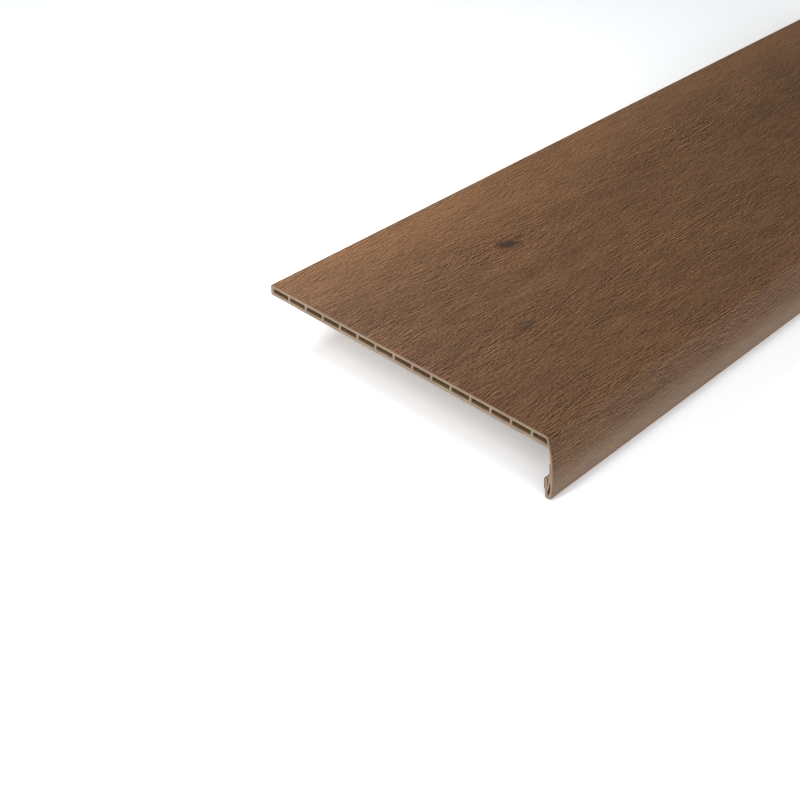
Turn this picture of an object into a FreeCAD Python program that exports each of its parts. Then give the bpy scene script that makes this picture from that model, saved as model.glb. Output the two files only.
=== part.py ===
import FreeCAD, Part
import math
import os
from FreeCAD import Vector

# Stair tread: a hollow board of extruded wood-plastic composite whose front
# edge turns down into a deep nosing. A wood-look skin is wrapped over the rear
# edge, the walking surface, the front face, round the hem at its foot and a
# little way up the back of the front wall.
# X runs along the stock, -Y is the front (nosing), +Z is up.
# The origin is on the floor, under the middle of the bounding box.

# ---- driving dimensions, mm -------------------------------------------------
length = 1000.0           # stock length along X
depth = 300.0             # rear edge to front face
height = 55.0             # foot of the nosing to the walking surface
board_t = 10.0            # thickness of the hollow board, skin included
top_skin = 3.05           # solid above the cells
bottom_skin = 3.05        # solid below the cells
web_pitch = 19.6          # spacing of the webs between the cells
web_t = 2.2               # web thickness
first_web = 21.65         # rear edge to the middle of the first web
web_count = 14            # 14 webs make 15 cells
rear_wall = 3.35          # solid behind the first cell
cell_r = 0.45             # corner radius in the cells
skin_t = 0.75             # wood-look skin

front_radius = 118.5      # the front face leans and curves to vertical
front_flat = 9.0          # height at which the front face is vertical
front_wall = 2.85         # downturned wall at front_flat, front skin included
back_radius = 145.0       # its back is a flatter curve, so the wall thins upward
arris_r = 2.6             # front top arris
rear_top_r = 1.7          # rear top arris
rear_low_r = 1.2          # rear lower arris
inner_corner_r = 1.5      # between the board's underside and the front wall

hem_width = 5.7           # hem at the floor
foot_r = 3.1              # rounding of the foot, front
foot_in_r = 1.8           # rounding of the foot, inside
step_in, step_z = 6.85, 7.0       # the hem steps outward here
barb_in, barb_z = 7.75, 8.7
lip_in = 8.65             # front face to the lip's edge
lip_z = 17.15             # height of the lip's edge
lip_r = 1.0
strut_z = 23.2            # the lip's sloping top meets the front wall here
strut_r = 1.2
skin_end_z = 31.5         # the skin ends here on the back of the front wall

# ---- derived ------------------------------------------------------------------
x0 = -length / 2
y_rear = depth / 2
y_front = -depth / 2
z_under = height - board_t
# curves of the front wall, each as (axis y, axis z, radius)
front_curve = (y_front + front_radius, front_flat, front_radius)
back_curve = (y_front + front_wall + back_radius, front_flat, back_radius)
wrap_curve = (back_curve[0], front_flat, back_radius - skin_t)     # with the skin on it


def pt(y, z):
    return Vector(x0, y, z)


def line(a, b):
    return Part.LineSegment(pt(*a), pt(*b)).toShape()


def arc(a, m, b):
    return Part.Arc(pt(*a), pt(*m), pt(*b)).toShape()


def unit(dy, dz):
    n = math.hypot(dy, dz)
    return dy / n, dz / n


def corner(prev, here, nxt, r):
    """Tangent points and the middle of the arc that rounds a straight corner."""
    ay, az = unit(prev[0] - here[0], prev[1] - here[1])
    by, bz = unit(nxt[0] - here[0], nxt[1] - here[1])
    half = math.acos(max(-1.0, min(1.0, ay * by + az * bz))) / 2
    run = r / math.tan(half)
    my, mz = unit(ay + by, az + bz)
    to_mid = r / math.sin(half) - r
    return ((here[0] + ay * run, here[1] + az * run),
            (here[0] + my * to_mid, here[1] + mz * to_mid),
            (here[0] + by * run, here[1] + bz * run))


def rounded(points):
    """Closed wire through (y, z, corner radius) points."""
    n = len(points)
    spots = []
    for i in range(n):
        p, h, q = points[i - 1], points[i], points[(i + 1) % n]
        spots.append(corner(p[:2], h[:2], q[:2], h[2]) if h[2] > 0 else (h[:2], None, h[:2]))
    edges = []
    for i in range(n):
        a, m, b = spots[i]
        if m:
            edges.append(arc(a, m, b))
        nxt = spots[(i + 1) % n][0]
        if math.hypot(nxt[0] - b[0], nxt[1] - b[1]) > 1e-6:
            edges.append(line(b, nxt))
    return Part.Wire(edges)


def on_curve(curve, z):
    """The point of a curve at height z, on its front side."""
    cy, cz, radius = curve
    return cy - math.sqrt(radius ** 2 - (z - cz) ** 2), z


def mid_wall(z):
    """Half way through the front wall at height z."""
    return (on_curve(front_curve, z)[0] + on_curve(wrap_curve, z)[0]) / 2, z


def blend_level(level, curve, r):
    """Arc of radius r from the level line above it to the curve."""
    cy, cz, radius = curve
    zc = level - r
    yc = cy - math.sqrt((radius - r) ** 2 - (zc - cz) ** 2)
    k = radius / (radius - r)
    on_arc = (cy + (yc - cy) * k, cz + (zc - cz) * k)
    vy, vz = unit(on_arc[0] - yc, on_arc[1] - zc)
    my, mz = unit(vy, 1.0 + vz)
    return (yc, level), (yc + my * r, zc + mz * r), on_arc


def blend_slope(a, b, curve, r):
    """Arc of radius r in the angle between the line a-b and the curve."""
    cy, cz, radius = curve
    dy, dz = unit(b[0] - a[0], b[1] - a[1])
    ny, nz = dz, -dy                      # away from the solid
    if ny < 0:
        ny, nz = -ny, -nz
    py, pz = a[0] + ny * r, a[1] + nz * r
    fy, fz = py - cy, pz - cz
    bb = fy * dy + fz * dz
    cc = fy * fy + fz * fz - (radius - r) ** 2
    s = -bb + math.sqrt(bb * bb - cc)
    yc, zc = py + dy * s, pz + dz * s
    k = radius / (radius - r)
    on_arc = (cy + (yc - cy) * k, cz + (zc - cz) * k)
    on_line = (yc - ny * r, zc - nz * r)
    uy, uz = unit(on_line[0] - yc, on_line[1] - zc)
    vy, vz = unit(on_arc[0] - yc, on_arc[1] - zc)
    my, mz = unit(uy + vy, uz + vz)
    return on_line, (yc + my * r, zc + mz * r), on_arc


# ---- outline of the whole section ------------------------------------------------
rear_low = corner((0, z_under), (y_rear, z_under), (y_rear, height), rear_low_r)
rear_top = corner((y_rear, z_under), (y_rear, height), (0, height), rear_top_r)
arris = blend_level(height, front_curve, arris_r)
curve_end = (y_front, front_flat)
foot_front = corner(curve_end, (y_front, 0.0), (y_front + hem_width, 0.0), foot_r)
hem_in = (y_front + hem_width, 0.0)
step = (y_front + step_in, step_z)
barb = (y_front + barb_in, barb_z)
lip = (y_front + lip_in, lip_z)
strut_end = on_curve(wrap_curve, strut_z)
foot_inner = corner((y_front, 0.0), hem_in, step, foot_in_r)
c_step = corner(hem_in, step, barb, 0.8)
c_barb = corner(step, barb, lip, 1.0)
c_lip = corner(barb, lip, strut_end, lip_r)
strut = blend_slope(lip, strut_end, wrap_curve, strut_r)
z_mid_front = (arris[2][1] + front_flat) / 2


def outline(back_edges):
    """The closed outline, with these edges up the back of the front wall."""
    return Part.Face(Part.Wire([
        line(under[0], rear_low[0]),
        arc(*rear_low),
        line(rear_low[2], rear_top[0]),
        arc(*rear_top),
        line(rear_top[2], arris[0]),
        arc(*arris),
        arc(arris[2], on_curve(front_curve, z_mid_front), curve_end),
        line(curve_end, foot_front[0]),
        arc(*foot_front),
        line(foot_front[2], foot_inner[0]),
        arc(*foot_inner),
        line(foot_inner[2], c_step[0]),
        arc(*c_step),
        line(c_step[2], c_barb[0]),
        arc(*c_barb),
        line(c_barb[2], c_lip[0]),
        arc(*c_lip),
        line(c_lip[2], strut[0]),
        arc(*strut),
        *back_edges,
        arc(under[2], under[1], under[0]),
    ]))


def up_wall(curve, z_from, z_to):
    return arc(on_curve(curve, z_from), on_curve(curve, (z_from + z_to) / 2), on_curve(curve, z_to))


# the real outline: the skin stands proud of the wall up to skin_end_z
under = blend_level(z_under, back_curve, inner_corner_r)
solid_face = outline([
    up_wall(wrap_curve, strut[2][1], skin_end_z),
    line(on_curve(wrap_curve, skin_end_z), on_curve(back_curve, skin_end_z)),
    up_wall(back_curve, skin_end_z, under[2][1]),
])

# ---- the fifteen cells -------------------------------------------------------------
z_low, z_high = z_under + bottom_skin, height - top_skin
webs = [y_rear - first_web - k * web_pitch for k in range(web_count)]
holes = []
hi = y_rear - rear_wall
for y in webs:
    lo = y + web_t / 2
    holes.append(rounded([(lo, z_low, cell_r), (hi, z_low, cell_r),
                          (hi, z_high, cell_r), (lo, z_high, cell_r)]))
    hi = y - web_t / 2
# the last cell ends in a slant beside the front curve, with a floor that dips there
holes.append(rounded([(y_front + 8.95, z_low - 0.85, 0.7), (y_front + 12.6, z_low, 2.5),
                      (hi, z_low, cell_r), (hi, z_high, cell_r), (y_front + 10.3, z_high, 1.0)]))

# ---- the two chambers inside the hem --------------------------------------------------
holes.append(rounded([(y_front + 4.75, 11.8, 0.12), (y_front + 5.05, 11.8, 0.12),
                      (y_front + 6.05, 18.5, 0.3), (y_front + 5.25, 19.0, 0.3)]))
holes.append(rounded([(y_front + 2.85, 3.3, 0.6), (y_front + 4.3, 3.3, 0.6),
                      (y_front + 4.5, 6.6, 1.2), (y_front + 3.5, 10.2, 2.0),
                      (y_front + 3.3, 14.6, 0.15), (y_front + 2.95, 14.6, 0.15),
                      (y_front + 2.3, 10.6, 3.0), (y_front + 2.35, 7.0, 3.0)]))

section = solid_face
for hole in holes:
    section = section.cut(Part.Face(hole))

# ---- the skin: wrapped from under the rear edge round to the back of the front wall ------
under = blend_level(z_under, wrap_curve, inner_corner_r)
all_wrapped = outline([up_wall(wrap_curve, strut[2][1], under[2][1])])
inset = all_wrapped.makeOffset2D(-skin_t)
zone = [(y_rear - rear_low_r, z_under - 2), (y_rear + 2, z_under - 2), (y_rear + 2, height + 2),
        (y_front - 2, height + 2), (y_front - 2, -2.0), (y_front + 12, -2.0),
        (y_front + 12, skin_end_z), mid_wall(skin_end_z)]
zone += [mid_wall(z) for z in (36.0, 40.0, 44.0, 48.0)]
zone += [(y_front + 14, height - board_t / 2), (y_rear - rear_low_r, height - board_t / 2)]
zone_face = Part.Face(Part.makePolygon([pt(*p) for p in zone] + [pt(*zone[0])]))
band = all_wrapped.cut(inset).common(zone_face)

core_face = section.cut(band)
run = Vector(length, 0, 0)


def extruded(shape):
    solids = []
    for face in shape.Faces:
        solids += face.extrude(run).Solids
    if len(solids) != 1:
        raise ValueError("expected one solid, got %d" % len(solids))
    solid = solids[0].removeSplitter().Solids[0]
    if not solid.isValid():
        raise ValueError("invalid solid")
    return solid


parts = {
    "hollow_core_board": extruded(core_face),   # extruded composite, 15 cells, hem
    "wood_look_skin": extruded(band),           # the brown skin bonded to it
}

os.makedirs("parts", exist_ok=True)
for name, shape in parts.items():
    shape.exportStep("parts/%s.step" % name)
    box = shape.BoundBox
    print(name, "volume %.0f mm3" % shape.Volume, "faces", len(shape.Faces),
          "box %.2f..%.2f, %.2f..%.2f, %.2f..%.2f" % (
              box.XMin, box.XMax, box.YMin, box.YMax, box.ZMin, box.ZMax))
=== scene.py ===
import math

import bmesh
import bpy
import numpy as np
from mathutils import Matrix, Vector, noise
from mathutils.geometry import tessellate_polygon


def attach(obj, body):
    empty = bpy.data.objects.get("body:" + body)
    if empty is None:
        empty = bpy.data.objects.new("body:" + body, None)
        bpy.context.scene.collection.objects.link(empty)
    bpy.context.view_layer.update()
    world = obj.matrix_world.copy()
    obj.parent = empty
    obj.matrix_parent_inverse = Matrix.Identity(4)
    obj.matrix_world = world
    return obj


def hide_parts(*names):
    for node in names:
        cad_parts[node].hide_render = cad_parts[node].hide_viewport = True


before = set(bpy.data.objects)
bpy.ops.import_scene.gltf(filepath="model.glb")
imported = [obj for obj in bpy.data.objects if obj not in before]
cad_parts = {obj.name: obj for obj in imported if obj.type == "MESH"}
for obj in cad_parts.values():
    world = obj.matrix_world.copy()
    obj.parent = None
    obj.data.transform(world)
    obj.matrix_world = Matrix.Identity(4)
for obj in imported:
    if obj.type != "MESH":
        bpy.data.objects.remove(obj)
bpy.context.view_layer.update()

scene = bpy.context.scene

# =============================================================================
# The section, in mm (Y across the tread, Z up), as the solids have it
# =============================================================================
LENGTH, DEPTH, HEIGHT, BOARD = 1000.0, 300.0, 55.0, 10.0
TOP_SKIN, BOTTOM_SKIN = 3.05, 3.05
WEB_PITCH, WEB, FIRST_WEB, WEBS, REAR_WALL, CELL_R = 19.6, 2.2, 21.65, 14, 3.35, 0.45
SKIN = 0.75
FRONT_R, FRONT_FLAT, FRONT_WALL, BACK_R = 118.5, 9.0, 2.85, 145.0
ARRIS_R, REAR_TOP_R, REAR_LOW_R, INNER_CORNER_R = 2.6, 1.7, 1.2, 1.5
HEM_W, FOOT_R, FOOT_IN_R = 5.7, 3.1, 1.8
STEP_IN, STEP_Z, BARB_IN, BARB_Z = 6.85, 7.0, 7.75, 8.7
LIP_IN, LIP_Z, LIP_R, STRUT_Z, STRUT_R, SKIN_END_Z = 8.65, 17.15, 1.0, 23.2, 1.2, 31.5

YR, YF, ZU = DEPTH / 2, -DEPTH / 2, HEIGHT - BOARD
# curves of the front wall: axis y, axis z, radius
FRONT = (YF + FRONT_R, FRONT_FLAT, FRONT_R)
BACK = (YF + FRONT_WALL + BACK_R, FRONT_FLAT, BACK_R)
WRAP = (BACK[0], FRONT_FLAT, BACK_R - SKIN)


def unit(a, b):
    n = math.hypot(a, b)
    return a / n, b / n


def corner(p, h, q, r):
    a, b = unit(p[0] - h[0], p[1] - h[1]), unit(q[0] - h[0], q[1] - h[1])
    half = math.acos(max(-1.0, min(1.0, a[0] * b[0] + a[1] * b[1]))) / 2
    run, m = r / math.tan(half), unit(a[0] + b[0], a[1] + b[1])
    d = r / math.sin(half) - r
    return ((h[0] + a[0] * run, h[1] + a[1] * run), (h[0] + m[0] * d, h[1] + m[1] * d),
            (h[0] + b[0] * run, h[1] + b[1] * run))


def on_curve(curve, z):
    return curve[0] - math.sqrt(curve[2] ** 2 - (z - curve[1]) ** 2), z


def blend_level(level, curve, r):
    cy, cz, radius = curve
    zc = level - r
    yc = cy - math.sqrt((radius - r) ** 2 - (zc - cz) ** 2)
    k = radius / (radius - r)
    end = (cy + (yc - cy) * k, cz + (zc - cz) * k)
    v = unit(end[0] - yc, end[1] - zc)
    m = unit(v[0], 1.0 + v[1])
    return (yc, level), (yc + m[0] * r, zc + m[1] * r), end


def blend_slope(a, b, curve, r):
    cy, cz, radius = curve
    d = unit(b[0] - a[0], b[1] - a[1])
    n = (d[1], -d[0]) if d[1] > 0 else (-d[1], d[0])
    p = (a[0] + n[0] * r, a[1] + n[1] * r)
    f = (p[0] - cy, p[1] - cz)
    bb = f[0] * d[0] + f[1] * d[1]
    cc = f[0] ** 2 + f[1] ** 2 - (radius - r) ** 2
    s = -bb + math.sqrt(bb * bb - cc)
    yc, zc = p[0] + d[0] * s, p[1] + d[1] * s
    k = radius / (radius - r)
    end = (cy + (yc - cy) * k, cz + (zc - cz) * k)
    start = (yc - n[0] * r, zc - n[1] * r)
    u, v = unit(start[0] - yc, start[1] - zc), unit(end[0] - yc, end[1] - zc)
    m = unit(u[0] + v[0], u[1] + v[1])
    return start, (yc + m[0] * r, zc + m[1] * r), end


def line(a, b, n=1):
    """Points from a to b, b left out."""
    return [(a[0] + (b[0] - a[0]) * i / n, a[1] + (b[1] - a[1]) * i / n) for i in range(n)]


def arc(a, m, b, n):
    """Points of the arc through three points, b left out."""
    (ax, ay), (mx, my), (bx, by) = a, m, b
    d = 2 * (ax * (my - by) + mx * (by - ay) + bx * (ay - my))
    sa, sm, sb = ax * ax + ay * ay, mx * mx + my * my, bx * bx + by * by
    cx = (sa * (my - by) + sm * (by - ay) + sb * (ay - my)) / d
    cy = (sa * (bx - mx) + sm * (ax - bx) + sb * (mx - ax)) / d
    r = math.hypot(ax - cx, ay - cy)
    t0, tm, t1 = (math.atan2(p[1] - cy, p[0] - cx) for p in (a, m, b))
    turn = (t1 - t0) % (2 * math.pi)
    if (tm - t0) % (2 * math.pi) > turn:
        turn -= 2 * math.pi
    return [(cx + r * math.cos(t0 + turn * i / n), cy + r * math.sin(t0 + turn * i / n))
            for i in range(n)]


def rounded(points, n=4):
    out = []
    for i in range(len(points)):
        p, h, q = points[i - 1], points[i], points[(i + 1) % len(points)]
        a, m, b = corner(p[:2], h[:2], q[:2], h[2])
        out += arc(a, m, b, n) + [b]
    return out


rear_low = corner((0, ZU), (YR, ZU), (YR, HEIGHT), REAR_LOW_R)
rear_top = corner((YR, ZU), (YR, HEIGHT), (0, HEIGHT), REAR_TOP_R)
arris = blend_level(HEIGHT, FRONT, ARRIS_R)
curve_end = (YF, FRONT_FLAT)
foot_front = corner(curve_end, (YF, 0.0), (YF + HEM_W, 0.0), FOOT_R)
hem_in = (YF + HEM_W, 0.0)
step, barb, lip = (YF + STEP_IN, STEP_Z), (YF + BARB_IN, BARB_Z), (YF + LIP_IN, LIP_Z)
strut_end = on_curve(WRAP, STRUT_Z)
foot_inner = corner((YF, 0.0), hem_in, step, FOOT_IN_R)
c_step = corner(hem_in, step, barb, 0.8)
c_barb = corner(step, barb, lip, 1.0)
c_lip = corner(barb, lip, strut_end, LIP_R)
strut = blend_slope(lip, strut_end, WRAP, STRUT_R)
under = blend_level(ZU, BACK, INNER_CORNER_R)
skin_end = on_curve(WRAP, SKIN_END_Z)

# the skin's outside, from under the rear edge over the top and the front, round the hem and up the back
outer = (arc(*rear_low, 6) + line(rear_low[2], rear_top[0], 3) + arc(*rear_top, 7)
         + line(rear_top[2], arris[0], 84) + arc(*arris, 10)
         + arc(arris[2], on_curve(FRONT, (arris[2][1] + FRONT_FLAT) / 2), curve_end, 24)
         + line(curve_end, foot_front[0], 3) + arc(*foot_front, 14)
         + line(foot_front[2], foot_inner[0]) + arc(*foot_inner, 10)
         + line(foot_inner[2], c_step[0], 3) + arc(*c_step, 4)
         + line(c_step[2], c_barb[0]) + arc(*c_barb, 5)
         + line(c_barb[2], c_lip[0], 4) + arc(*c_lip, 7)
         + line(c_lip[2], strut[0], 3) + arc(*strut, 6)
         + arc(strut[2], on_curve(WRAP, (strut[2][1] + SKIN_END_Z) / 2), skin_end, 5) + [skin_end])
# the bare composite: up the back of the front wall and along the underside
bare = (arc(on_curve(BACK, SKIN_END_Z), on_curve(BACK, (SKIN_END_Z + under[2][1]) / 2), under[2], 8)
        + arc(under[2], under[1], under[0], 7) + line(under[0], rear_low[0], 60) + [rear_low[0]])


def tidy(points, gap=1e-4):
    out = []
    for p in points:
        if not out or math.hypot(p[0] - out[-1][0], p[1] - out[-1][1]) > gap:
            out.append(p)
    return out


def normals(points, closed):
    """Outward normals of a path that has the solid on its left."""
    p = np.array(points)
    if closed:
        before, after = np.roll(p, 1, 0), np.roll(p, -1, 0)
    else:
        before, after = np.vstack([p[:1], p[:-1]]), np.vstack([p[1:], p[-1:]])
    a, b = p - before, after - p
    la, lb = np.linalg.norm(a, axis=1), np.linalg.norm(b, axis=1)
    a = np.where(la[:, None] > 0, a / np.maximum(la, 1e-9)[:, None], b / np.maximum(lb, 1e-9)[:, None])
    b = np.where(lb[:, None] > 0, b / np.maximum(lb, 1e-9)[:, None], a)
    t = a + b
    t /= np.linalg.norm(t, axis=1)[:, None]
    side = np.stack([t[:, 1], -t[:, 0]], 1)
    scale = 1 / np.clip((side[:, 0] * a[:, 1] - side[:, 1] * a[:, 0]), 0.5, 1)
    return side * scale[:, None]


outer = tidy(outer)
OUT = np.array(outer)
out_n = normals(outer, False)
out_n[0] = (0.0, -1.0)
INN = OUT - out_n * SKIN                        # where the skin meets the core
INN[-1] = on_curve(BACK, SKIN_END_Z)
run = np.concatenate([[0], np.cumsum(np.linalg.norm(np.diff(OUT, axis=0), axis=1))])
top_at = int(np.argmin(np.abs(OUT - np.array(rear_top[2])).sum(1)))
S = run - run[top_at] + (YR - rear_top[2][0])   # on the walking surface S = YR - y

cells = []
zl, zh = ZU + BOTTOM_SKIN, HEIGHT - TOP_SKIN
hi = YR - REAR_WALL
for kk in range(WEBS):
    y = YR - FIRST_WEB - kk * WEB_PITCH
    a = y + WEB / 2
    cells.append(rounded([(a, zl, CELL_R), (hi, zl, CELL_R), (hi, zh, CELL_R), (a, zh, CELL_R)]))
    hi = y - WEB / 2
cells.append(rounded([(YF + 8.95, zl - 0.85, 0.7), (YF + 12.6, zl, 2.5), (hi, zl, CELL_R),
                      (hi, zh, CELL_R), (YF + 10.3, zh, 1.0)], 6))
cells.append(rounded([(YF + 4.75, 11.8, 0.12), (YF + 5.05, 11.8, 0.12), (YF + 6.05, 18.5, 0.3),
                      (YF + 5.25, 19.0, 0.3)], 4))
cells.append(rounded([(YF + 2.85, 3.3, 0.6), (YF + 4.3, 3.3, 0.6), (YF + 4.5, 6.6, 1.2),
                      (YF + 3.5, 10.2, 2.0), (YF + 3.3, 14.6, 0.15), (YF + 2.95, 14.6, 0.15),
                      (YF + 2.3, 10.6, 3.0), (YF + 2.35, 7.0, 3.0)], 5))

# =============================================================================
# Meshes
# =============================================================================
MM = 0.001
HALF = LENGTH / 2


def area2(points):
    p = np.array(points)
    q = np.roll(p, -1, 0)
    return float((p[:, 0] * q[:, 1] - q[:, 0] * p[:, 1]).sum() / 2)


def ragged(i, x_end, size):
    """A saw's small unevenness along an edge, 0.6 to 1.4 times size."""
    return size * (1 + 0.4 * noise.noise(Vector((i * 0.37, x_end * 0.01, 2.0))))


def section_solid(name, loops, contact, stations, chamfer):
    """A length of stock with this section. loops[0] is the outline, the rest are holes. The saw cut's
    edges are broken by chamfer, except where contact says that another layer goes on."""
    verts, faces, rings = [], [], []
    for li, loop in enumerate(loops):
        pts = loop if (area2(loop) > 0) == (li == 0) else loop[::-1]
        flag = contact[li]
        if flag is not None and pts is not loop:
            flag = flag[::-1]
        n2 = normals(pts, True)
        rows = []
        for xi, x in enumerate(stations):
            end = xi == 0 or xi == len(stations) - 1
            row = []
            for i, (p, n) in enumerate(zip(pts, n2)):
                c = 0.0
                if end and not (flag is not None and flag[i]):
                    c = ragged(i + 31 * li, x, chamfer)
                row.append(len(verts))
                verts.append((x * MM, (p[0] - n[0] * c) * MM, (p[1] - n[1] * c) * MM))
            rows.append(row)
        rings.append(rows)
        m = len(pts)
        for r0, r1 in zip(rows, rows[1:]):
            for i in range(m):
                j = (i + 1) % m
                faces.append((r0[i], r0[j], r1[j], r1[i]))
    for end in (0, -1):
        polys = [[Vector((0.0, verts[v][1], verts[v][2])) for v in rows[end]] for rows in rings]
        flat = [v for rows in rings for v in rows[end]]
        for tri in tessellate_polygon(polys):
            a, b, c = (flat[t] for t in tri)
            pa, pb, pc = verts[a], verts[b], verts[c]
            turn = (pb[1] - pa[1]) * (pc[2] - pa[2]) - (pb[2] - pa[2]) * (pc[1] - pa[1])
            if abs(turn) < 1e-14:
                continue
            faces.append((a, b, c) if (turn < 0) == (end == 0) else (a, c, b))
    me = bpy.data.meshes.new(name)
    me.from_pydata(verts, [], faces)
    me.update()
    ob = bpy.data.objects.new(name, me)
    scene.collection.objects.link(ob)
    return ob


def smooth_by_angle(ob, degrees):
    bm = bmesh.new()
    bm.from_mesh(ob.data)
    bmesh.ops.remove_doubles(bm, verts=bm.verts, dist=1e-7)
    bmesh.ops.recalc_face_normals(bm, faces=bm.faces)
    for e in bm.edges:
        e.smooth = len(e.link_faces) == 2 and e.calc_face_angle(0) < math.radians(degrees)
    for f in bm.faces:
        f.smooth = True
    bm.to_mesh(ob.data)
    bm.free()


# ---- the core --------------------------------------------------------------------
bare = tidy(bare)
inn = tidy([tuple(p) for p in INN])
core_loop = inn + bare[1:]
flags = [True] * len(inn) + [False] * (len(core_loop) - len(inn))
flags[-1] = True
stations = [-HALF, -HALF + 0.16] + [-HALF + 40.0 * i for i in range(1, 25)] + [HALF - 0.16, HALF]
core = section_solid("core_board", [core_loop] + cells, [flags] + [None] * len(cells), stations, 0.14)
smooth_by_angle(core, 35)

# ---- the skin: a fine grid on the outside, so that the grain's flow can ride on it -------
nx = 260
xs = np.concatenate([[-HALF, -HALF + 0.12], np.linspace(-HALF, HALF, nx + 1)[1:-1], [HALF - 0.12, HALF]])
verts, faces = [], []
n = len(OUT)
grid = np.zeros((len(xs), n), int)
for xi, x in enumerate(xs):
    end = xi in (0, len(xs) - 1)
    for i in range(n):
        c = ragged(i, x, 0.09) if end else 0.0
        grid[xi, i] = len(verts)
        verts.append((x * MM, (OUT[i, 0] - out_n[i, 0] * c) * MM, (OUT[i, 1] - out_n[i, 1] * c) * MM))
inner_ids = np.zeros((2, n), int)
for e, x in enumerate((-HALF, HALF)):
    for i in range(n):
        inner_ids[e, i] = len(verts)
        verts.append((x * MM, INN[i, 0] * MM, INN[i, 1] * MM))
for xi in range(len(xs) - 1):
    for i in range(n - 1):
        faces.append((grid[xi, i], grid[xi, i + 1], grid[xi + 1, i + 1], grid[xi + 1, i]))
for i in range(n - 1):
    faces.append((inner_ids[0, i], inner_ids[1, i], inner_ids[1, i + 1], inner_ids[0, i + 1]))
    faces.append((grid[0, i], inner_ids[0, i], inner_ids[0, i + 1], grid[0, i + 1]))
    faces.append((grid[-1, i], grid[-1, i + 1], inner_ids[1, i + 1], inner_ids[1, i]))
faces.append(tuple(grid[:, 0]) + (inner_ids[1, 0], inner_ids[0, 0]))
faces.append(tuple(grid[::-1, n - 1]) + (inner_ids[0, n - 1], inner_ids[1, n - 1]))
me = bpy.data.meshes.new("wood_skin")
me.from_pydata(verts, [], [tuple(int(v) for v in f) for f in faces])
me.update()
skin = bpy.data.objects.new("wood_skin", me)
scene.collection.objects.link(skin)
smooth_by_angle(skin, 35)

# =============================================================================
# The grain's flow, worked out at the skin's vertices
# =============================================================================
# each: x, s, push, half length and half width of the swelling that the grain passes round
SWELLS = [
    (-300, 97, 0.46, 80, 42), (-401, 189, 0.36, 62, 26), (30, 78, 0.32, 95, 40),
    (-105, 88, 0.22, 90, 26), (255, 214, 0.38, 85, 32), (402, 66, 0.32, 80, 34),
    (-262, 300, 0.25, 70, 26), (120, 318, 0.30, 90, 30),
]


def wave(x, s, lx, ls, seed):
    return noise.noise(Vector((x / lx, s / ls, seed)))


def flow(x, s):
    t = s
    for kx, ks, push, lx, ls in SWELLS:
        d = s - ks
        t -= d * push * math.exp(-((x - kx) / lx) ** 2 - (d / ls) ** 2)
    t += 9.0 * wave(x, s, 260, 120, 1.5) + 2.6 * wave(x, s, 120, 46, 9.2) + 0.5 * wave(x, s, 42, 15, 4.4)
    return t


me = skin.data
co = np.empty(len(me.vertices) * 3)
me.vertices.foreach_get("co", co)
co = co.reshape(-1, 3) / MM
ref = np.vstack([OUT, INN])
ref_s = np.concatenate([S, S])
grain = np.zeros((len(co), 3), np.float32)
plan = np.zeros((len(co), 3), np.float32)
lookup = {}
for i, (x, y, z) in enumerate(co):
    key = (round(y, 3), round(z, 3))
    if key not in lookup:
        lookup[key] = float(ref_s[int(np.argmin((ref[:, 0] - y) ** 2 + (ref[:, 1] - z) ** 2))])
    s = lookup[key]
    grain[i] = (x, flow(x, s), 0.0)
    plan[i] = (x, s, 0.0)
for label, data in (("grain", grain), ("plan", plan)):
    at = me.attributes.new(label, "FLOAT_VECTOR", "POINT")
    at.data.foreach_set("vector", data.ravel())


# =============================================================================
# Materials
# =============================================================================
def lin(r, g, b):
    f = lambda v: v / 12.92 if v <= 0.04045 else ((v + 0.055) / 1.055) ** 2.4
    return f(r / 255), f(g / 255), f(b / 255), 1.0


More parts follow.
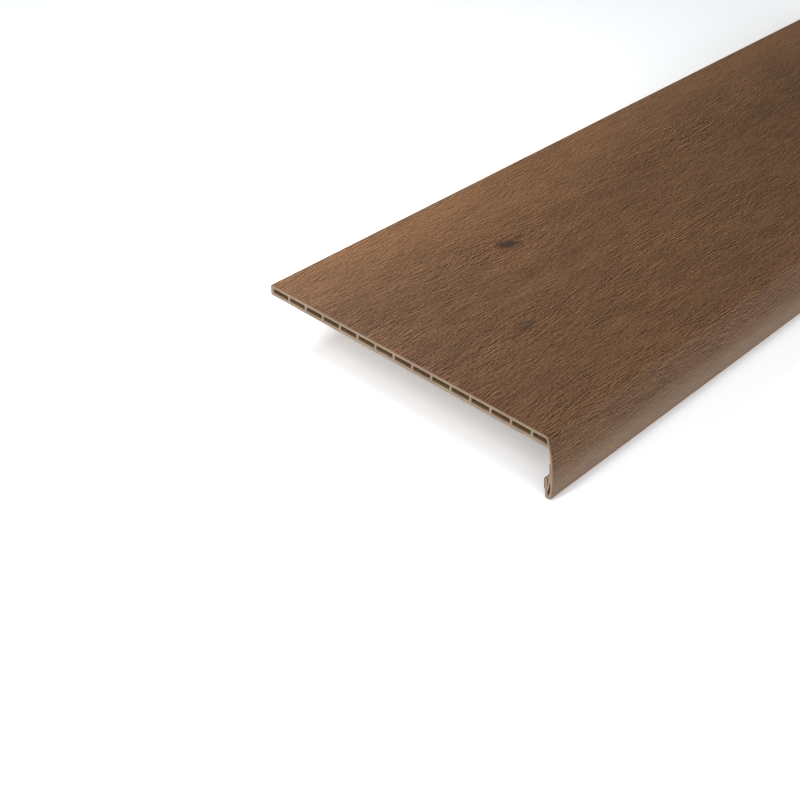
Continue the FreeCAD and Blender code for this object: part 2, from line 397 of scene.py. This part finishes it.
class Nodes:
    def __init__(self, name):
        self.mat = bpy.data.materials.new(name)
        self.mat.use_nodes = True
        self.t = self.mat.node_tree
        self.t.nodes.clear()
        self.out = self.t.nodes.new("ShaderNodeOutputMaterial")

    def add(self, kind, **kw):
        n = self.t.nodes.new(kind)
        for k, v in kw.items():
            setattr(n, k, v)
        return n

    def put(self, socket, value):
        if value is None:
            return
        if isinstance(value, bpy.types.NodeSocket):
            self.t.links.new(value, socket)
        else:
            socket.default_value = value

    def math(self, op, a, b=None, c=None, clamp=False):
        n = self.add("ShaderNodeMath", operation=op, use_clamp=clamp)
        for s, v in zip(n.inputs, (a, b, c)):
            self.put(s, v)
        return n.outputs[0]

    def add_(self, *vals):
        out = vals[0]
        for v in vals[1:]:
            out = self.math("ADD", out, v)
        return out

    def mul(self, *vals):
        out = vals[0]
        for v in vals[1:]:
            out = self.math("MULTIPLY", out, v)
        return out

    def xyz(self, x, y, z=0.0):
        n = self.add("ShaderNodeCombineXYZ")
        for s, v in zip(n.inputs, (x, y, z)):
            self.put(s, v)
        return n.outputs[0]

    def split(self, v):
        n = self.add("ShaderNodeSeparateXYZ")
        self.put(n.inputs[0], v)
        return n.outputs

    def noise(self, v, detail=2.0, rough=0.5, dist=0.0):
        n = self.add("ShaderNodeTexNoise", noise_dimensions="3D")
        self.put(n.inputs["Vector"], v)
        n.inputs["Scale"].default_value = 1.0
        n.inputs["Detail"].default_value = detail
        n.inputs["Roughness"].default_value = rough
        n.inputs["Distortion"].default_value = dist
        return n.outputs["Fac"]

    def fit(self, v, a, b, c=0.0, d=1.0, kind="SMOOTHSTEP"):
        n = self.add("ShaderNodeMapRange", interpolation_type=kind, clamp=True)
        self.put(n.inputs["Value"], v)
        for s, x in zip(("From Min", "From Max", "To Min", "To Max"), (a, b, c, d)):
            n.inputs[s].default_value = x
        return n.outputs["Result"]

    def mix(self, f, a, b, how="MIX"):
        n = self.add("ShaderNodeMix", data_type="RGBA", blend_type=how)
        self.put(n.inputs["Factor"], f)
        self.put(n.inputs[6], a)
        self.put(n.inputs[7], b)
        return n.outputs[2]

    def ramp(self, f, stops):
        n = self.add("ShaderNodeValToRGB")
        self.put(n.inputs[0], f)
        e = n.color_ramp.elements
        e[0].position, e[0].color = stops[0]
        e[1].position, e[1].color = stops[-1]
        for p, c in stops[1:-1]:
            x = e.new(p)
            x.color = c
        return n.outputs[0]


def wood():
    w = Nodes("wood_decor_print")
    g = w.add("ShaderNodeAttribute", attribute_name="grain", attribute_type="GEOMETRY")
    p = w.add("ShaderNodeAttribute", attribute_name="plan", attribute_type="GEOMETRY")
    U, T, _ = w.split(g.outputs["Vector"])
    X, Sx, _ = w.split(p.outputs["Vector"])
    geo = w.add("ShaderNodeNewGeometry")
    nx_, _, _ = w.split(geo.outputs["True Normal"])
    cut = w.fit(w.math("ABSOLUTE", nx_), 0.6, 0.9)          # 1 on the sawn ends of the skin

    def field(lu, lt, seed, detail=2.0, rough=0.5, dt=0.0, dist=0.0):
        t = T if dt == 0 else w.math("ADD", T, dt)
        return w.noise(w.xyz(w.math("DIVIDE", U, lu), w.math("DIVIDE", t, lt), seed), detail, rough, dist)

    def plain(lx, ls, seed, detail=2.0, rough=0.5):
        return w.noise(w.xyz(w.math("DIVIDE", X, lx), w.math("DIVIDE", Sx, ls), seed), detail, rough)

    def part(v, amount):
        return w.mul(w.math("SUBTRACT", v, 0.5), amount)

    # tone about the mean colour: the broad drift of the print, a faint mottle, its short streaks, and bands of
    # painted light.
    # A streak is the difference of one noise and itself a little way across the grain, so each dark
    # line has a pale one beside it: grain, with painted light and shade of the pressed relief.
    def pressed_with_painted_relief(lu, lt, seed, step, detail, rough=0.5):
        return w.math("SUBTRACT", field(lu, lt, seed, detail, rough), field(lu, lt, seed, detail, rough, dt=step))

    cloud = field(80.0, 30.0, 3.1, 2.0)
    vein = field(26.0, 6.0, 11.3, 2.0, 0.55)
    mottle = plain(3.2, 2.6, 37.1, 2.0, 0.6)
    long_ = pressed_with_painted_relief(24.0, 1.05, 17.9, 0.85, 1.0)
    streak = pressed_with_painted_relief(9.0, 1.05, 53.3, 0.85, 1.0)
    fine = pressed_with_painted_relief(3.2, 0.72, 29.9, 0.6, 1.0)
    patch = w.fit(field(34.0, 10.0, 31.0, 1.0), 0.34, 0.66)
    calm = w.fit(Sx, 160.0, 300.0, 1.0, 0.70)                # the streaks soften towards the nosing
    strong = w.mul(calm, w.fit(field(46.0, 13.0, 67.0, 2.0), 0.32, 0.68, 0.72, 1.28))   # and in calm areas
    tone = w.add_(part(plain(230.0, 110.0, 5.5, 1.0), 0.12), part(cloud, 0.30), part(vein, 0.78),
                  part(mottle, 1.40), w.mul(long_, strong, A_LONG), w.mul(streak, strong, A_STREAK),
                  # painted light: the last term on the next line lightens the top along the rear edge
                  w.mul(fine, calm, A_FINE), 0.915, w.fit(Sx, -10.0, 115.0, 0.40, 0.0),
                  # painted light: the next term lightens the top towards the nosing
                  w.fit(Sx, 240.0, 286.0, 0.0, 0.08),
                  # painted highlight: the next term lightens the rear of the top towards the right, a painted sheen
                  w.mul(w.fit(X, -40.0, 180.0, 0.0, 0.17), w.fit(Sx, 75.0, 5.0, 0.0, 1.0)))

    # pores pressed into the print: short dark dashes, each with a painted highlight on the pale lip beside it
    raw = field(10.0, 1.0, 41.0, 1.0)
    raw_lip = field(10.0, 1.0, 41.0, 1.0, dt=0.9)
    weight = w.add_(w.mul(patch, 0.65), 0.35)
    pore = w.mul(w.fit(raw, 0.54, 0.76), weight)
    lip_and_painted_highlight = w.mul(w.fit(raw_lip, 0.54, 0.76), weight)
    # the lip's lift in tone is a painted highlight of the pressed relief
    tone = w.math("MAXIMUM", w.add_(tone, w.mul(pore, calm, -0.25), w.mul(lip_and_painted_highlight, calm, 0.46)), 0.20)

    base = w.mix(w.fit(field(120.0, 50.0, 23.0, 2.0), 0.36, 0.64), lin(*WOOD_A), lin(*WOOD_B))
    n = w.add("ShaderNodeVectorMath", operation="SCALE")
    w.put(n.inputs[0], base)
    w.put(n.inputs["Scale"], tone)
    col = n.outputs[0]

    # knots and smudges: x, s, half length, half width, turn, amount, colour, softness, wobble
    wob = w.math("SUBTRACT", w.noise(w.xyz(w.math("DIVIDE", X, 9.0), w.math("DIVIDE", Sx, 4.5), 61.0), 3.0, 0.6), 0.5)
    knot_height = None
    for kx, ks, rx, rs, turn, amount, colour, soft, wobble in KNOTS:
        ax, as_ = w.math("SUBTRACT", X, float(kx)), w.math("SUBTRACT", Sx, float(ks))
        c_, s_ = math.cos(math.radians(turn)), math.sin(math.radians(turn))
        dx = w.math("DIVIDE", w.add_(w.mul(ax, c_), w.mul(as_, s_)), float(rx))
        ds = w.math("DIVIDE", w.add_(w.mul(as_, c_), w.mul(ax, -s_)), float(rs))
        d = w.math("SQRT", w.add_(w.mul(dx, dx), w.mul(ds, ds)))
        d = w.add_(d, w.mul(wob, wobble * 1.4))
        m = w.fit(d, 1.25, soft, 0.0, 1.0)
        col = w.mix(w.mul(m, amount), col, lin(*colour))
        if amount > 0.7:
            knot_height = m if knot_height is None else w.math("MAXIMUM", knot_height, m)
            rings = w.math("SINE", w.mul(d, 9.0))
            ring = w.mul(w.fit(d, 3.2, 0.9, 0.0, 1.0), w.fit(rings, 0.1, 0.9))
            col = w.mix(w.mul(ring, 0.10), col, lin(58, 40, 30))

    # painted light: the skin is paler and greyer where it turns down to the foot, standing in for light off the floor
    col = w.mix(w.mul(w.fit(Sx, 312.0, 339.0), 0.42), col, lin(143, 124, 106))

    # the skin's own brown shows on its sawn ends, with a fine cut grain
    saw = plain(0.5, 0.35, 71.0, 2.0, 0.6)
    sawn = w.mix(w.fit(saw, 0.35, 0.65), lin(*RIM_A), lin(*RIM_B))
    # painted shade: the next line darkens the sawn skin end behind the hem, in the recess, over the skin's own brown
    sawn = w.mix(w.mul(w.fit(Sx, 356.0, 360.0), 0.85), sawn, lin(76, 56, 42))     # darker behind the hem
    col = w.mix(cut, col, sawn)

    rough = w.add_(0.50, w.mul(pore, 0.14), part(cloud, 0.10), w.mul(lip_and_painted_highlight, -0.05), w.mul(cut, 0.25))
    height = w.add_(w.mul(pore, -0.30), w.mul(long_, 0.35), w.mul(streak, 0.45), w.mul(lip_and_painted_highlight, 0.12),
                    w.mul(knot_height, -0.2))
    bump = w.add("ShaderNodeBump")
    bump.inputs["Strength"].default_value = 0.6
    bump.inputs["Distance"].default_value = 0.00015
    w.put(bump.inputs["Height"], height)
    b = w.add("ShaderNodeBsdfPrincipled")
    w.put(b.inputs["Base Color"], col)
    w.put(b.inputs["Roughness"], rough)
    w.put(b.inputs["Normal"], bump.outputs[0])
    b.inputs["IOR"].default_value = 1.5
    b.inputs["Specular IOR Level"].default_value = 0.13
    w.put(w.out.inputs["Surface"], b.outputs[0])
    return w.mat


def composite():
    w = Nodes("extruded_composite")
    tc = w.add("ShaderNodeTexCoord")
    sx, sy, sz = w.split(tc.outputs["Object"])
    geo = w.add("ShaderNodeNewGeometry")
    nx_, _, _ = w.split(geo.outputs["True Normal"])
    cut = w.fit(w.math("ABSOLUTE", nx_), 0.6, 0.9)          # 1 on the sawn ends

    def field(lx, ly, lz, seed, detail=2.0, rough=0.5):
        return w.noise(w.xyz(w.add_(w.math("DIVIDE", sx, lx * MM), seed),
                             w.math("DIVIDE", sy, ly * MM), w.math("DIVIDE", sz, lz * MM)), detail, rough)

    clouds = field(60, 22, 22, 2.0)
    flour = field(0.55, 0.40, 0.40, 5.0, 2.0, 0.6)           # wood flour in the cut
    flour_run = field(5.5, 0.45, 0.45, 9.0, 2.0, 0.6)        # drawn out along the extruded faces
    die = field(400, 0.9, 0.9, 14.0, 2.0, 0.6)               # die lines
    saw = field(0.25, 1.6, 9.0, 21.0, 2.0, 0.5)              # saw marks, steep across the cut
    speck = w.mix(cut, flour_run, flour)
    pale = w.mix(w.fit(clouds, 0.3, 0.7), lin(*CUT_A), lin(*CUT_B))
    pale = w.mix(w.mul(w.fit(speck, 0.56, 0.74), 0.45), pale, lin(112, 88, 64))
    pale = w.mix(w.mul(w.fit(speck, 0.46, 0.26), 0.35), pale, lin(186, 168, 146))
    # painted shade, in part: the extruded faces' darker brown is partly the extruded skin's own colour and partly
    # shade painted for the deep cells
    dark = w.mix(w.fit(clouds, 0.3, 0.7), lin(*RUN_A), lin(*RUN_B))
    dark = w.mix(w.mul(w.fit(die, 0.50, 0.70), 0.30), dark, lin(84, 62, 42))
    dark = w.mix(w.mul(w.fit(speck, 0.60, 0.76), 0.25), dark, lin(150, 124, 98))
    col = w.mix(cut, dark, pale)
    h_cut = w.add_(w.mul(saw, 0.8), w.mul(speck, 0.4))
    h_run = w.add_(w.mul(die, 0.8), w.mul(speck, 0.25))
    height = w.add_(w.mul(cut, h_cut), w.mul(w.math("SUBTRACT", 1.0, cut), h_run))
    bump = w.add("ShaderNodeBump")
    bump.inputs["Strength"].default_value = 0.5
    bump.inputs["Distance"].default_value = 0.00010
    w.put(bump.inputs["Height"], height)
    b = w.add("ShaderNodeBsdfPrincipled")
    w.put(b.inputs["Base Color"], col)
    w.put(b.inputs["Roughness"], w.add_(0.50, w.mul(cut, 0.30), w.mul(die, -0.12)))
    w.put(b.inputs["Normal"], bump.outputs[0])
    b.inputs["IOR"].default_value = 1.45
    b.inputs["Specular IOR Level"].default_value = 0.4
    w.put(w.out.inputs["Surface"], b.outputs[0])
    return w.mat


# the finish's colours, display values, and the strength of its streaks
A_LONG, A_STREAK, A_FINE = 1.75, 2.15, 2.7
WOOD_A, WOOD_B = (94, 68, 47), (97, 70, 48)
RIM_A, RIM_B = (112, 84, 64), (128, 100, 78)
CUT_A, CUT_B = (127, 110, 92), (139, 122, 104)
# RUN is the extruded faces' colour: partly their own, partly painted shade for the deep cells
RUN_A, RUN_B = (112, 88, 64), (122, 98, 74)
KNOTS = [
    (-307, 99, 36, 20, 10, 0.28, (92, 58, 42), 0.05, 0.5),       # reddish ring round the first knot
    (-308.5, 96, 14.5, 6.5, 30, 0.82, (44, 37, 33), 0.40, 0.9),  # its dark heart, turned out of the grain
    (-292, 94, 5.0, 3.4, 0, 0.55, (58, 40, 30), 0.35, 0.8),      # and the dark crescent at its far side
    (-283, 92, 12, 2.6, 0, 0.40, (62, 42, 31), 0.25, 1.0),
    (-402, 189, 28, 12, 0, 0.26, (84, 56, 44), 0.05, 0.5),       # the second: a dark ring, olive inside
    (-398.5, 188, 10.5, 7.5, 0, 0.46, (58, 43, 33), 0.40, 0.9),
    (-399.5, 187.3, 5.0, 3.4, 0, 0.30, (88, 72, 54), 0.30, 0.6),
    (-389.5, 189.5, 4.2, 3.2, 0, 0.50, (60, 41, 32), 0.35, 0.8),
    (-408, 191.5, 16, 2.4, 0, 0.45, (68, 45, 36), 0.20, 0.9),
    (-232, 91, 22, 9, 0, 0.30, (70, 50, 34), 0.05, 0.9),
    (-184, 92, 40, 7, 0, 0.20, (76, 52, 38), 0.0, 0.7),
    (-104, 88, 46, 15, 0, 0.26, (78, 50, 40), 0.0, 0.6),
    (-58, 84, 34, 8, 0, 0.20, (76, 50, 38), 0.0, 0.7),
    (36, 78, 20, 6, 0, 0.28, (72, 50, 38), 0.05, 0.9),
    (256, 214, 26, 14, 0, 0.30, (82, 54, 40), 0.05, 0.5),
    (257, 214, 12, 5.5, 20, 0.80, (50, 40, 35), 0.40, 0.8),
    (402, 66, 20, 8, 0, 0.30, (74, 50, 38), 0.05, 0.8),
]

skin.data.materials.append(wood())
core.data.materials.append(composite())

for piece, node, slot in ((skin, "wood_look_skin", "wood_decor"), (core, "hollow_core_board", "composite_core")):
    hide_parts(node)
    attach(piece, "root")

# =============================================================================
# Floor, light and camera
# =============================================================================
me = bpy.data.meshes.new("floor")
e = 12.0
me.from_pydata([(-e, -e, 0), (e, -e, 0), (e, e, 0), (-e, e, 0)], [], [(0, 1, 2, 3)])
floor = bpy.data.objects.new("floor", me)
scene.collection.objects.link(floor)
f = Nodes("floor_white")
d = f.add("ShaderNodeBsdfDiffuse")
d.inputs["Color"].default_value = (0.87, 0.885, 0.90, 1)
em = f.add("ShaderNodeEmission")
em.inputs["Color"].default_value = (1, 1, 1, 1)
em.inputs["Strength"].default_value = 0.22
s = f.add("ShaderNodeAddShader")
f.put(s.inputs[0], d.outputs[0])
f.put(s.inputs[1], em.outputs[0])
f.put(f.out.inputs["Surface"], s.outputs[0])
me.materials.append(f.mat)

world = bpy.data.worlds.new("studio")
world.use_nodes = True
wt = world.node_tree
bg = wt.nodes["Background"]
bg.inputs["Color"].default_value = (1.0, 1.0, 1.0, 1)
# the room is brighter on the near left than on the far right
way = wt.nodes.new("ShaderNodeTexCoord")
lean = wt.nodes.new("ShaderNodeVectorMath")
lean.operation = "DOT_PRODUCT"
lean.inputs[1].default_value = (-0.74, -0.67, 0.0)
level = wt.nodes.new("ShaderNodeMapRange")
for k_, v_ in (("From Min", -1.0), ("From Max", 1.0), ("To Min", 0.19), ("To Max", 0.52)):
    level.inputs[k_].default_value = v_
wt.links.new(way.outputs["Generated"], lean.inputs[0])
wt.links.new(lean.outputs["Value"], level.inputs["Value"])
wt.links.new(level.outputs["Result"], bg.inputs["Strength"])
scene.world = world


def area_light(name, place, aim, size, size_y, watts, colour=(1, 1, 1)):
    data = bpy.data.lights.new(name, "AREA")
    data.shape, data.size, data.size_y, data.energy, data.color = "RECTANGLE", size, size_y, watts, colour
    ob = bpy.data.objects.new(name, data)
    ob.location = place
    ob.rotation_euler = (Vector(aim) - Vector(place)).to_track_quat("-Z", "Y").to_euler()
    scene.collection.objects.link(ob)
    return ob


def sun(name, azimuth, elevation, angle, strength):
    data = bpy.data.lights.new(name, "SUN")
    data.angle, data.energy = math.radians(angle), strength
    ob = bpy.data.objects.new(name, data)
    a, e_ = math.radians(azimuth), math.radians(elevation)
    towards = Vector((math.sin(a) * math.cos(e_), -math.cos(a) * math.cos(e_), math.sin(e_)))
    ob.rotation_euler = towards.to_track_quat("Z", "Y").to_euler()
    scene.collection.objects.link(ob)
    return ob


# a broad soft light from the left, and a small near one that brightens the rear left corner
area_light("broad", (-2.237, 0.232, 1.823), (-0.35, 0.0, 0.05), 0.30, 1.75, 40.0)
sun("front_fill", -18, 20, 60, 1.72)
area_light("key", (-0.43, 0.36, 0.48), (-0.43, 0.12, 0.05), 0.42, 0.22, 2.5)

# the camera that the cells, the long edges and the square corner of the photographed end call for
AZ, EL, ROLL = math.radians(-48.0841369), math.radians(36.3095325), math.radians(1.8333661)
back = Vector((math.sin(AZ) * math.cos(EL), -math.cos(AZ) * math.cos(EL), math.sin(EL)))
right = (-back).cross(Vector((0, 0, 1))).normalized()
up = right.cross(-back)
r2 = right * math.cos(ROLL) + up * math.sin(ROLL)
u2 = up * math.cos(ROLL) - right * math.sin(ROLL)
cam_data = bpy.data.cameras.new("camera")
cam_data.sensor_width = 36.0
cam_data.lens = 1408.613 / 800 * 36.0
cam_data.clip_start, cam_data.clip_end = 0.05, 60.0
cam = bpy.data.objects.new("camera", cam_data)
cam.matrix_world = Matrix((
    (r2.x, u2.x, back.x, -1.1653196), (r2.y, u2.y, back.y, -0.5947946), (r2.z, u2.z, back.z, 0.6699106),
    (0, 0, 0, 1)))
scene.collection.objects.link(cam)
scene.camera = cam

scene.view_settings.view_transform = "Standard"
scene.view_settings.look = "None"
scene.view_settings.exposure = 0.0
scene.view_settings.gamma = 1.0
